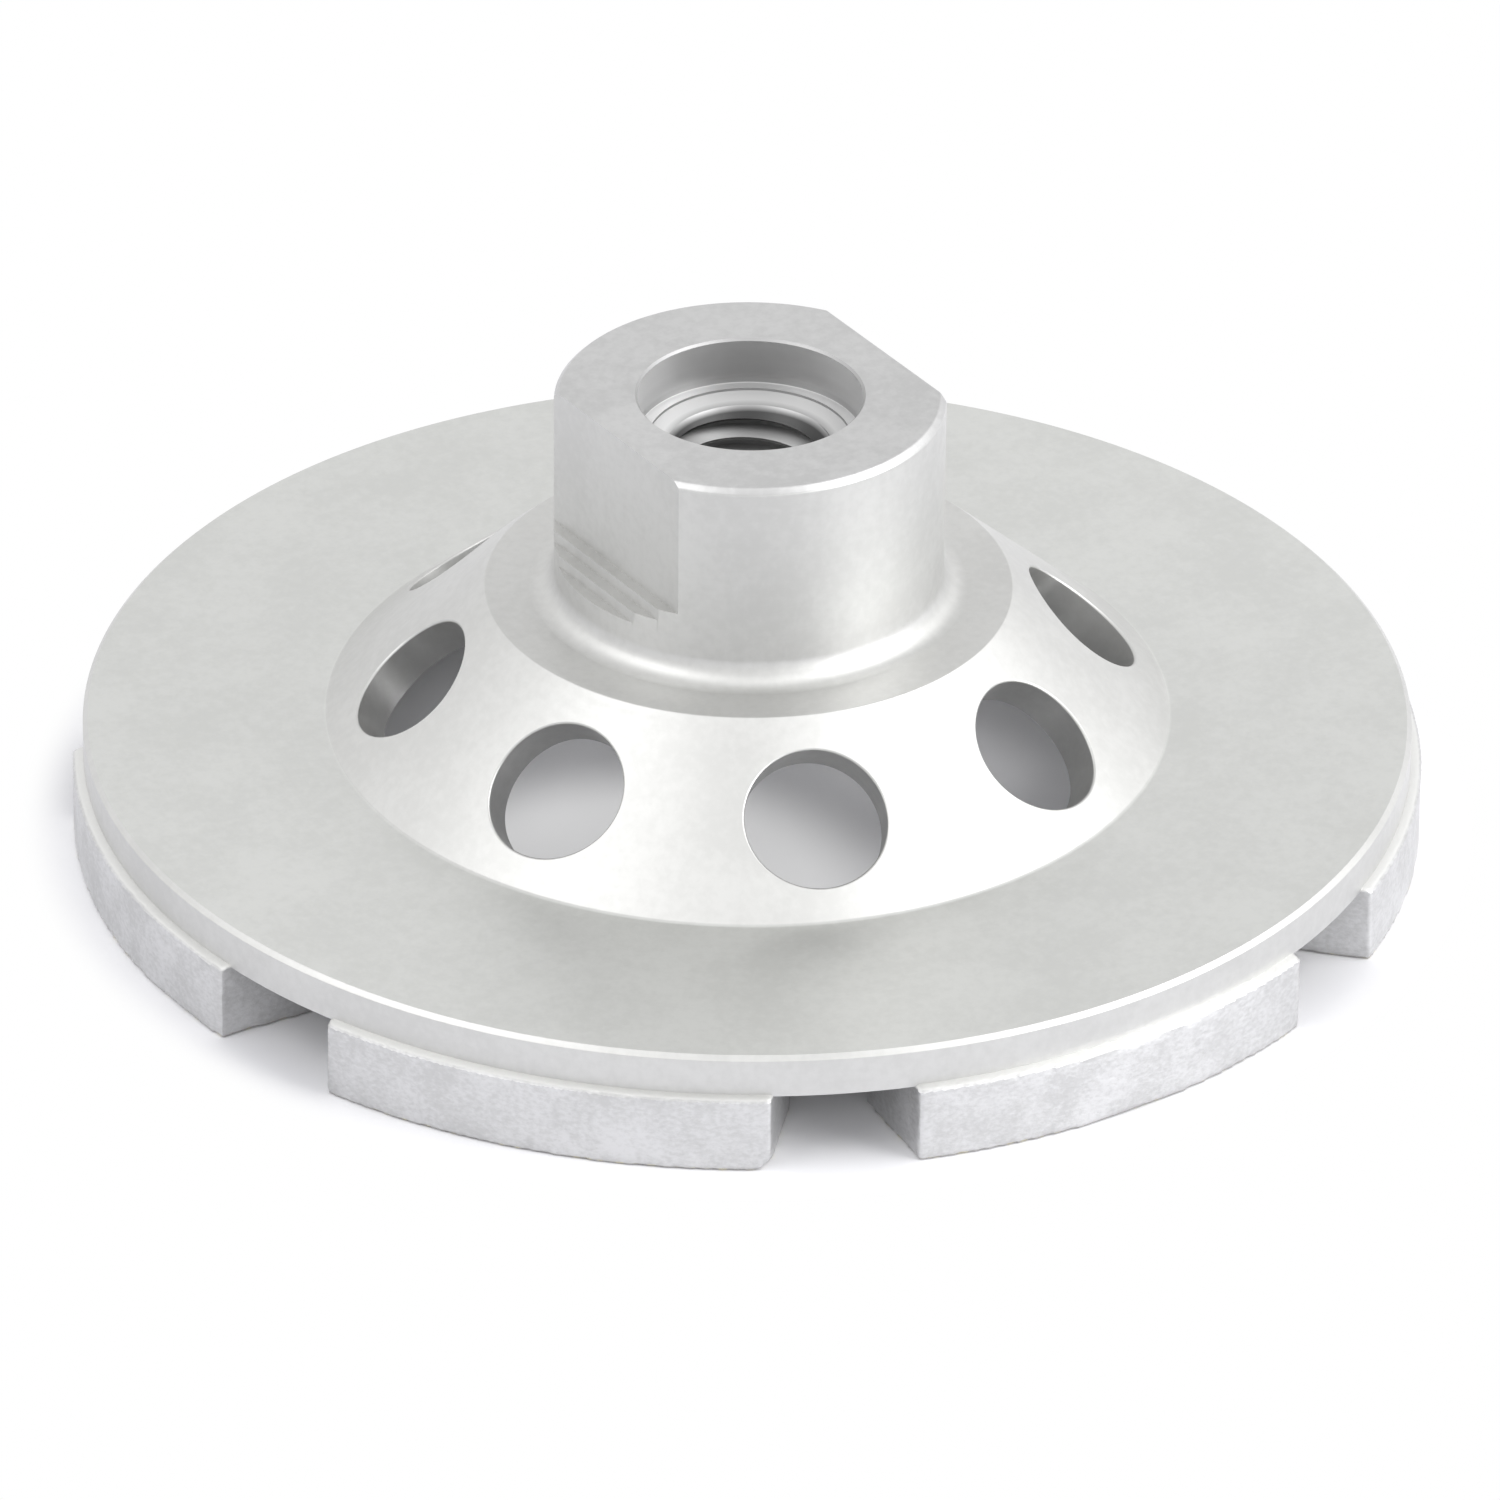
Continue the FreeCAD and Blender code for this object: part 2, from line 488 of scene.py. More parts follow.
class Workpiece:
    """A mesh on the bench: the object that the modelling steps work on."""

    def __init__(self, name: str, scale: Sequence[float] = (1, 1, 1)) -> None:
        """Take the primitive that was just added and put its place into its mesh.

        Args:
            name: the piece's name.
            scale: how much larger it becomes along its own axes.
        """
        self.object: bpy.types.Object = bpy.context.object
        self.object.name = name
        self.object.data.name = name
        self.object.scale = scale
        self.settle()

    def select(self) -> None:
        """Select only this piece and make it the active one."""
        start_clean()
        self.object.select_set(True)
        bpy.context.view_layer.objects.active = self.object

    def settle(self) -> None:
        """Put the piece's place, turn and scale into its mesh."""
        self.select()
        bpy.ops.object.transform_apply(location=True, rotation=True, scale=True)

    @contextmanager
    def editing(self) -> Iterator[None]:
        """Stay in edit mode for the steps inside the with block."""
        self.select()
        bpy.ops.object.mode_set(mode="EDIT")
        bpy.ops.mesh.select_all(action="SELECT")
        yield
        bpy.ops.object.mode_set(mode="OBJECT")

    def pick(self, kind: Pick, test: Callable[[Any], bool]) -> None:
        """Select the vertices, edges or faces that pass a test, in edit mode.

        Args:
            kind: what to look through.
            test: gets one bmesh element and says whether it is wanted.
        """
        bpy.ops.mesh.select_mode(type=kind.value)
        bpy.ops.mesh.select_all(action="DESELECT")
        shape = bmesh.from_edit_mesh(self.object.data)
        elements = {Pick.VERTICES: shape.verts, Pick.EDGES: shape.edges, Pick.FACES: shape.faces}[kind]
        chosen = [element for element in elements if test(element)]
        for element in chosen:
            element.select_set(True)
        bmesh.update_edit_mesh(self.object.data, loop_triangles=False, destructive=False)

    def close(self) -> None:
        """Merge doubles and turn every face outwards, in edit mode."""
        bpy.ops.mesh.select_all(action="SELECT")
        bpy.ops.mesh.remove_doubles(threshold=0.0005 * MM)
        bpy.ops.mesh.normals_make_consistent(inside=False)

    def modify(self, kind: str, **settings: Any) -> None:
        """Add a modifier and apply it.

        Args:
            kind: the modifier's type.
            settings: its properties.
        """
        self.select()
        bpy.ops.object.modifier_add(type=kind)
        modifier = self.object.modifiers[-1]
        for key, value in settings.items():
            setattr(modifier, key, value)
        bpy.ops.object.modifier_apply(modifier=modifier.name)

    def cut(self, cutter: "Workpiece") -> None:
        """Take a cutter's shape out of this piece and throw the cutter away."""
        self.modify("BOOLEAN", operation="DIFFERENCE", solver="EXACT", object=cutter.object)
        bpy.data.objects.remove(cutter.object, do_unlink=True)

    def copy(self, name: str, turn: float) -> "Workpiece":
        """Copy this piece, with a mesh of its own, turned about the spindle axis.

        Args:
            name: the copy's name.
            turn: how far it is turned, in degrees.

        Returns:
            The copy.
        """
        self.select()
        bpy.ops.object.duplicate(linked=False)
        bpy.context.object.rotation_euler = (0, 0, math.radians(turn))
        return Workpiece(name)

    def paint(self, *materials: bpy.types.Material) -> None:
        """Give the piece its materials, in slot order."""
        self.object.data.materials.clear()
        for material in materials:
            self.object.data.materials.append(material)

    def dress(self, slot: int, test: Callable[[Any], bool]) -> None:
        """Give the faces that pass a test another of the piece's materials.

        Args:
            slot: number of the material slot.
            test: gets one bmesh face and says whether it is wanted.
        """
        with self.editing():
            self.pick(Pick.FACES, test)
            self.object.active_material_index = slot
            bpy.ops.object.material_slot_assign()

    def hand_over(self, slot: Slot, *replaced: str, weighted: bool = False) -> None:
        """Shade the piece, let it ride on the part and log it.

        Args:
            slot: the record's slot that its finish belongs to; not used.
            replaced: CAD nodes that it stands for.
            weighted: let large faces rule the shading of the edges they share with small ones.
        """
        self.select()
        bpy.ops.object.shade_smooth_by_angle(angle=math.radians(SMOOTH_ANGLE))
        if weighted:
            self.modify("WEIGHTED_NORMAL", keep_sharp=True)
        if replaced:
            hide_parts(*replaced)
        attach(self.object, BODY)
        self.object.data.calc_loop_triangles()
        triangles = len(self.object.data.loop_triangles)
        nodes = list(replaced) or "nothing"
        log.info("%s: %d triangles, stands for %s", self.object.name, triangles, nodes)


class Surface(Enum):
    """Turned surfaces of the steel body, numbered as its material slots."""

    TURNED = 0
    THREADED = 1
    UNDERSIDE = 2
    FACED = 3
    FLANGE = 4
    SEAT = 5
    BORED = 6


@dataclass(frozen=True)
class BodyFinishes:
    """Materials of the steel body: one for each turned surface, and those that the cutters leave."""

    surfaces: Mapping[Surface, bpy.types.Material]
    milled: bpy.types.Material
    drilled: bpy.types.Material


@dataclass(frozen=True)
class Corner:
    """One corner of a turned profile."""

    radius: float
    height: float
    rounding: float = 0.0
    steps: int = 1

    def holds(self, point: Vector) -> bool:
        """Whether a point of a mesh lies on the ring that this corner draws."""
        off_radius = abs(math.hypot(point.x, point.y) - self.radius * MM)
        off_height = abs(point.z - self.height * MM)
        return off_radius < NEAR * MM and off_height < NEAR * MM


@dataclass
class WheelBody:
    """The steel body: hub with wrench flats and bore, drilled dome and flange."""

    rim_radius: float
    seat_z: float
    top_z: float
    sides: int = 256
    flange_thickness: float = 3.8
    rim_chamfer: float = 0.4
    foot_radius: float = 35.9
    dome_height: float = 12.1
    shoulder_radius: float = 22.35
    dome_wall: float = 3.5
    crown_thickness: float = 4.5
    foot_fillet: float = 0.6
    hollow_fillet: float = 2.0
    edge_round: float = 0.15
    hub_radius: float = 16.5
    hub_chamfer: float = 0.5
    hub_edge_round: float = 0.3
    hub_fillet: float = 2.1
    register_radius: float = 9.5
    register_depth: float = 4.2
    register_lip: float = 0.2
    register_step: float = 0.2
    lead_width: float = 1.5
    lead_height: float = 0.65
    thread_radius: float = 7.0
    thread_chamfer: float = 1.2
    hole_count: int = 8
    hole_radius: float = 6.0
    hole_sides: int = 96
    first_hole: float = 22.5
    hole_round: float = 0.25
    flat_x: float = 13.5
    flat_height: float = 12.5
    flat_steps: int = 3
    step_drop: float = 1.05

    @property
    def flange_z(self) -> float:
        """Height of the flange's top face."""
        return self.seat_z + self.flange_thickness

    @property
    def shoulder_z(self) -> float:
        """Height of the shoulder round the hub's foot."""
        return self.flange_z + self.dome_height

    @property
    def ceiling_z(self) -> float:
        """Height of the hollow's ceiling."""
        return self.shoulder_z - self.crown_thickness

    @property
    def register_z(self) -> float:
        """Height of the counterbore's floor."""
        return self.top_z - self.register_depth

    @property
    def lead_z(self) -> float:
        """Height at which the thread's lead-in meets the bore."""
        return self.register_z - self.register_step - self.lead_height

    @property
    def cone_angle(self) -> float:
        """Slope of the dome from the horizontal, in radians."""
        return math.atan2(self.dome_height, self.foot_radius - self.shoulder_radius)

    def in_counterbore(self, point: Vector) -> bool:
        """Whether a point lies on the counterbore's floor, wall or lip."""
        spare = 0.05
        outside = self.register_radius + self.register_lip + spare
        return math.hypot(*point.xy) < outside * MM and point.z > (self.register_z - spare) * MM

    def inner_cone_radius(self, height: float) -> float:
        """Radius of the hollow at a height."""
        outer = self.foot_radius - (height - self.flange_z) / math.tan(self.cone_angle)
        return outer - self.dome_wall / math.sin(self.cone_angle)

    def profile(self) -> list[Corner]:
        """Corners of the turned profile, from the rim over the hub to the hollow's mouth."""
        rim, seat, flange, top = self.rim_radius, self.seat_z, self.flange_z, self.top_z
        chamfer, lip, lead = self.rim_chamfer, self.register_lip, self.thread_chamfer
        mouth = self.thread_radius + self.lead_width
        register, thread = self.register_radius, self.thread_radius
        small = self.edge_round
        return [
            Corner(rim, seat, small, 2),
            Corner(rim, flange - chamfer, 0.5 * small, 2),
            Corner(rim - chamfer, flange, 0.5 * small, 2),
            Corner(self.foot_radius, flange, self.foot_fillet, 5),
            Corner(self.shoulder_radius, self.shoulder_z, 1.5 * small, 4),
            Corner(self.hub_radius, self.shoulder_z, self.hub_fillet, 14),
            Corner(self.hub_radius, top - self.hub_chamfer, self.hub_edge_round, 3),
            Corner(self.hub_radius - self.hub_chamfer, top, self.hub_edge_round, 3),
            Corner(register + lip, top),
            Corner(register, top - lip),
            Corner(register, self.register_z, 0.3 * small, 2),
            Corner(mouth + 0.05, self.register_z),
            Corner(mouth, self.register_z - self.register_step),
            Corner(thread, self.lead_z),
            Corner(thread, self.ceiling_z + lead),
            Corner(thread + lead, self.ceiling_z, 0.5 * small, 2),
            Corner(self.inner_cone_radius(self.ceiling_z), self.ceiling_z, self.hollow_fillet, 8),
            Corner(self.inner_cone_radius(seat), seat, 3 * small, 4),
        ]

    def turn_blank(self) -> Workpiece:
        """Draw the profile ring by ring, as on a lathe, and round its corners.

        Returns:
            The turned blank.
        """
        corners = self.profile()
        first = corners[0]
        bpy.ops.mesh.primitive_circle_add(
            vertices=self.sides, radius=first.radius * MM, location=(0, 0, first.height * MM)
        )
        blank = Workpiece("turned_body")
        with blank.editing():
            for last, corner in zip(corners, corners[1:]):
                rise = (corner.height - last.height) * MM
                scale = corner.radius / last.radius
                centre = (0, 0, corner.height * MM)
                bpy.ops.mesh.extrude_region_move(TRANSFORM_OT_translate={"value": (0, 0, rise)})
                bpy.ops.transform.resize(value=(scale, scale, 1), center_override=centre)
            blank.pick(Pick.EDGES, lambda edge: edge.is_boundary)
            bpy.ops.mesh.bridge_edge_loops()
            blank.close()
            for corner in corners:
                if corner.rounding:
                    self._round(blank, corner, corners)
            blank.close()
        return blank

    def _round(self, blank: Workpiece, corner: Corner, corners: Sequence[Corner]) -> None:
        """Round the ring of edges at one corner of the profile."""
        place = corners.index(corner)
        before = corners[place - 1]
        after = corners[(place + 1) % len(corners)]
        here = Vector((corner.radius, corner.height))
        back = Vector((before.radius, before.height)) - here
        ahead = Vector((after.radius, after.height)) - here
        reach = corner.rounding / math.tan(back.angle(ahead) / 2)
        blank.pick(Pick.EDGES, lambda edge: all(corner.holds(vertex.co) for vertex in edge.verts))
        bpy.ops.mesh.bevel(offset=reach * MM, segments=corner.steps, profile=0.5, affect="EDGES")

    def flat_cutter(self, side: int) -> Workpiece:
        """Block that the milling cutter takes off for one wrench flat, with its stepped run-out.

        Args:
            side: 1 for the flat that faces +X and -1 for the other.

        Returns:
            The cutter.
        """
        clear = 2.0
        tread = (self.hub_radius - self.flat_x) / self.flat_steps
        depth = self.hub_radius + clear - self.flat_x
        step_z = self.top_z - self.flat_height
        height = self.flat_height + clear
        bpy.ops.mesh.primitive_cube_add(
            size=1,
            location=((self.flat_x + depth / 2) * MM, 0, (step_z + height / 2) * MM),
        )
        breadth = 2 * (self.hub_radius + clear)
        block = Workpiece("flat_cutter", (depth * MM, breadth * MM, height * MM))
        with block.editing():
            for step in range(1, self.flat_steps):
                line_x = (self.flat_x + step * tread) * MM
                floor_z = (step_z - (step - 1) * self.step_drop) * MM
                bpy.ops.mesh.select_all(action="SELECT")
                bpy.ops.mesh.bisect(plane_co=(line_x, 0, 0), plane_no=(1, 0, 0))
                block.pick(
                    Pick.FACES,
                    lambda face: face.normal.z < -0.9
                    and face.calc_center_median().x > line_x
                    and abs(middle_z(face) - floor_z) < NEAR * MM,
                )
                drop = -self.step_drop * MM
                bpy.ops.mesh.extrude_region_move(TRANSFORM_OT_translate={"value": (0, 0, drop)})
            block.close()
        if side < 0:
            block.object.rotation_euler = (0, 0, math.pi)
            block.settle()
        return block

    def hole_cutter(self, angle: float) -> Workpiece:
        """Drill for one air hole, square to the cone, with a flare that rounds the hole's outer edge.

        Args:
            angle: where round the axis the hole lies, in degrees.

        Returns:
            The cutter.
        """
        flare_steps = 3
        flare_turn = 70.0
        flare_length = 4 * self.hole_round
        cap_height = 2.0
        slope = self.cone_angle
        middle_radius = (self.foot_radius + self.shoulder_radius) / 2
        middle_z = (self.flange_z + self.shoulder_z) / 2
        bpy.ops.mesh.primitive_cylinder_add(
            vertices=self.hole_sides,
            radius=self.hole_radius * MM,
            depth=2 * self.dome_wall * MM,
            location=(0, 0, -(self.dome_wall + self.hole_round) * MM),
            end_fill_type="NGON",
        )
        drill = Workpiece("hole_cutter")
        with drill.editing():
            drill.pick(Pick.FACES, lambda face: face.normal.z > 0.9)
            reach, rise = 0.0, 0.0
            for step in range(1, flare_steps + 1):
                turn = math.radians(flare_turn * step / flare_steps)
                new_reach = self.hole_round * (1 - math.cos(turn))
                new_rise = self.hole_round * math.sin(turn)
                self._flare(new_reach - reach, new_rise - rise, reach)
                reach, rise = new_reach, new_rise
            self._flare(flare_length, flare_length * math.cos(math.radians(flare_turn)), reach)
            bpy.ops.mesh.extrude_region_move(TRANSFORM_OT_translate={"value": (0, 0, cap_height * MM)})
            drill.close()
        for vertex in drill.object.data.vertices:
            if vertex.co.z > -2 * self.hole_round * MM:
                across, along = vertex.co.x, vertex.co.y
                near = middle_radius * MM - along * math.cos(slope)
                vertex.co.z -= across ** 2 * math.sin(slope) / (2 * near)
        lean = Matrix.Rotation(slope, 4, "X")
        out_and_up = Matrix.Translation((0, -middle_radius * MM, middle_z * MM))
        round_axis = Matrix.Rotation(math.radians(angle + 90), 4, "Z")
        drill.object.matrix_world = round_axis @ out_and_up @ lean
        drill.settle()
        return drill

    def _flare(self, reach: float, rise: float, done: float) -> None:
        """Extrude the selected end of a drill upwards and widen it, in edit mode."""
        bpy.ops.mesh.extrude_region_move(TRANSFORM_OT_translate={"value": (0, 0, rise * MM)})
        scale = (self.hole_radius + done + reach) / (self.hole_radius + done)
        bpy.ops.transform.resize(value=(scale, scale, 1), center_override=(0, 0, 0))

    def build(self, finishes: BodyFinishes) -> None:
        """Turn, mill and drill the body, and dress each face by the tool that made it; the seat, the
        air holes and the bore also carry painted light and shade.

        Args:
            finishes: the body's materials.
        """
        body = self.turn_blank()
        body.paint(*(finishes.surfaces[surface] for surface in Surface))
        self._dress(body)
        for side in (1, -1):
            cutter = self.flat_cutter(side)
            cutter.paint(finishes.milled)
            body.cut(cutter)
        for number in range(self.hole_count):
            cutter = self.hole_cutter(self.first_hole + number * 360 / self.hole_count)
            cutter.paint(finishes.drilled)
            body.cut(cutter)
        body.hand_over(Slot.STEEL, "wheel_body", weighted=True)

    def _dress(self, body: Workpiece) -> None:
        """Give each turned surface its own finish, by where its faces lie and which way they look."""
        bore = (self.thread_radius + self.lead_width + 0.1) * MM
        edge_z = (self.top_z - self.hub_chamfer) * MM
        plate_z = self.flange_z * MM
        tests = {
            Surface.UNDERSIDE: lambda face: face.normal.z < -0.1,
            Surface.SEAT: lambda face: face.normal.z < -0.9 and middle_z(face) < plate_z,
            Surface.THREADED: lambda face: all(
                math.hypot(*vertex.co.xy) < bore for vertex in face.verts
            ),
            Surface.FACED: lambda face: face.normal.z > 0.3 and middle_z(face) > edge_z,
            Surface.BORED: lambda face: all(
                self.in_counterbore(vertex.co) for vertex in face.verts
            ),
            Surface.FLANGE: lambda face: face.normal.z > 0.9 and middle_z(face) < plate_z + MM,
        }
        for surface, test in tests.items():
            body.dress(surface.value, test)


@dataclass
class SpindleThread:
    """Right-hand ridge of the M14 x 2 thread inside the bore."""

    top_z: float
    bottom_z: float
    lead: float
    wall_radius: float = 7.0
    crest_radius: float = 5.92
    pitch: float = 2.0
    crest_width: float = 0.15
    root_width: float = 1.75
    start_drop: float = 1.0
    steps: int = 96
    sink: float = 0.05

    def build(self, finish: bpy.types.Material) -> None:
        """Wind the ridge up the bore and turn its lead-ins.

        Args:
            finish: the tapped finish, with painted light and shade in bands.
        """
        length = self.top_z - self.bottom_z
        turns = math.ceil(length / self.pitch) + 2
        start_z = self.bottom_z - self.pitch - self.start_drop
        middle = (self.crest_radius + self.wall_radius + self.sink) / 2
        bpy.ops.mesh.primitive_plane_add(
            size=1, location=(middle * MM, 0, start_z * MM), rotation=(math.pi / 2, 0, 0)
        )
        ridge = Workpiece("thread_ridge")
        for vertex in ridge.object.data.vertices:
            outer = vertex.co.x > middle * MM
            width = self.root_width if outer else self.crest_width
            radius = self.wall_radius + self.sink if outer else self.crest_radius
            up = 1 if vertex.co.z > start_z * MM else -1
            vertex.co = (radius * MM, 0, (start_z + up * width / 2) * MM)
        with ridge.editing():
            bpy.ops.mesh.delete(type="ONLY_FACE")
        ridge.modify(
            "SCREW",
            axis="Z",
            angle=2 * math.pi,
            screw_offset=self.pitch * MM,
            iterations=turns,
            steps=self.steps,
            render_steps=self.steps,
            use_smooth_shade=True,
        )
        with ridge.editing():
            ridge.pick(Pick.EDGES, lambda edge: edge.is_boundary)
            bpy.ops.mesh.edge_face_add()
            ridge.close()
        for end in (1, -1):
            ridge.cut(self.lead_in(end))
        ridge.paint(finish)
        ridge.hand_over(Slot.STEEL)

    def lead_in(self, end: int) -> Workpiece:
        """Cone that takes the ridge away beyond one end of the bore.

        Args:
            end: 1 for the upper end and -1 for the lower one.

        Returns:
            The cutter.
        """
        reach = 6.0
        height = self.top_z if end > 0 else self.bottom_z
        mouth = self.wall_radius + self.lead
        bpy.ops.mesh.primitive_circle_add(
            vertices=self.steps,
            radius=(mouth - reach) * MM,
            location=(0, 0, (height - end * reach) * MM),
        )
        cone = Workpiece("lead_in_cutter")
        with cone.editing():
            bpy.ops.mesh.edge_face_add()
            rise = end * 2 * reach * MM
            scale = (mouth + reach) / (mouth - reach)
            bpy.ops.mesh.extrude_region_move(TRANSFORM_OT_translate={"value": (0, 0, rise)})
            bpy.ops.transform.resize(value=(scale, scale, 1), center_override=(0, 0, 0))
            cone.close()
        return cone


@dataclass
class SegmentRing:
    """Seven sintered segments, bonded under the flange's rim."""

    outer_radius: float
    height: float
    count: int = 7
    width: float = 10.0
    gap: float = 12.4
    end_turn: float = 12.0
    first_angle: float = -90.0
    spare_angle: float = 4.0
    braze_width: float = 1.4
    braze_height: float = 0.4
    voxel: float = 0.27
    soften: int = 5
    grain_height: float = 0.05
    grain_size: float = 0.6
    lump_height: float = 0.12
    lump_size: float = 3.5
    chipped_number: int = 7
    chip_size: float = 1.1

    @property
    def half_angle(self) -> float:
        """Angle from a segment's middle to its outer corner, in radians."""
        return math.pi / self.count - math.asin(self.gap / 2 / self.outer_radius)

    def blank(self) -> Workpiece:
        """Press one segment, with its middle on the +X axis.

        Returns:
            The plain segment.
        """
        sweep = 2 * (self.half_angle + math.radians(self.spare_angle))
        middle = self.outer_radius - self.width / 2
        bpy.ops.mesh.primitive_plane_add(
            size=1,
            location=(middle * MM, 0, self.height / 2 * MM),
            rotation=(math.pi / 2, 0, 0),
        )
        bar = Workpiece("segment_blank", (self.width * MM, self.height * MM, 1))
        with bar.editing():
            inner_edge = (self.outer_radius - self.braze_width) * MM
            bpy.ops.mesh.bisect(plane_co=(inner_edge, 0, 0), plane_no=(1, 0, 0))
            bar.pick(
                Pick.EDGES,
                lambda edge: all(
                    vertex.co.z > (self.height - NEAR) * MM and vertex.co.x > inner_edge - NEAR * MM
                    for vertex in edge.verts
                ),
            )
            rise = self.braze_height * MM
            bpy.ops.mesh.extrude_region_move(TRANSFORM_OT_translate={"value": (0, 0, rise)})
            bar.pick(
                Pick.VERTICES,
                lambda vertex: vertex.co.z > (self.height + NEAR) * MM
                and vertex.co.x > inner_edge + NEAR * MM,
            )
            bpy.ops.transform.translate(value=(0, 0, -rise))
            bar.close()
        bar.object.rotation_euler = (0, 0, sweep / 2)
        bar.settle()
        with bar.editing():
            bpy.ops.mesh.spin(steps=48, angle=sweep, center=(0, 0, 0), axis=(0, 0, 1))
            bar.close()
            for side in (1, -1):
                outward = Vector((math.cos(self.half_angle), side * math.sin(self.half_angle), 0))
                corner = outward * self.outer_radius * MM
                inward = -outward
                inward.rotate(Matrix.Rotation(-side * math.radians(self.end_turn), 3, "Z"))
                outside = Vector((-inward.y, inward.x, 0)) * -side
                bpy.ops.mesh.select_all(action="SELECT")
                bpy.ops.mesh.bisect(plane_co=corner, plane_no=outside, clear_outer=True, use_fill=True)
            bar.close()
        return bar

    def chip(self, segment: Workpiece, turn: float) -> None:
        """Break off the lower outer corner at one end of a segment.

        Args:
            segment: the plain segment, in its place.
            turn: where round the axis its middle lies, in degrees.
        """
        corner_angle = math.radians(turn) + self.half_angle
        outward = Vector((math.cos(corner_angle), math.sin(corner_angle), 0))
        along = Vector((-outward.y, outward.x, 0))
        break_normal = (along + 0.6 * outward + Vector((0, 0, -0.8))).normalized()
        place = outward * self.outer_radius * MM - break_normal * 0.6 * self.chip_size * MM
        with segment.editing():
            bpy.ops.mesh.bisect(plane_co=place, plane_no=break_normal, clear_outer=True, use_fill=True)
            segment.close()

    def roughen(self, segment: Workpiece) -> None:
        """Mesh a segment evenly, soften its edges, and give it lumps and pits, all of them inwards.

        Args:
            segment: the segment, in its place.
        """
        segment.modify("REMESH", mode="VOXEL", voxel_size=self.voxel * MM)
        segment.modify("SMOOTH", factor=0.5, iterations=self.soften)
        with segment.editing():
            free_z = (self.height - 0.5 * self.voxel) * MM
            segment.pick(Pick.VERTICES, lambda vertex: vertex.co.z < free_z)
            bpy.ops.object.vertex_group_add()
            bpy.ops.object.vertex_group_assign()
        group = segment.object.vertex_groups.active.name
        for size, height in ((self.lump_size, self.lump_height), (self.grain_size, self.grain_height)):
            texture = bpy.data.textures.new("clouds", "CLOUDS")
            texture.noise_scale = size * MM
            texture.noise_depth = 2
            segment.modify(
                "DISPLACE",
                texture=texture,
                texture_coords="LOCAL",
                strength=height * MM,
                mid_level=1.0,
                vertex_group=group,
            )

    def build(self, finish: bpy.types.Material) -> None:
        """Make the seven segments and roughen each in its own place.

        Args:
            finish: the sintered finish.
        """
        blank = self.blank()
        for number in range(self.count):
            turn = self.first_angle + number * 360 / self.count
            segment = blank.copy(f"sintered_segment_{number + 1}", turn)
            if number + 1 == self.chipped_number:
                self.chip(segment, turn)
            self.roughen(segment)
            segment.paint(finish)
            segment.hand_over(Slot.SEGMENT, f"diamond_segment_{number + 1}")
        bpy.data.objects.remove(blank.object, do_unlink=True)


@dataclass(frozen=True)
class Lamp:
    """A soft square lamp that faces the object; its place is measured from the camera's."""

    name: str
    azimuth: float
    elevation: float
    size: float
    power: float


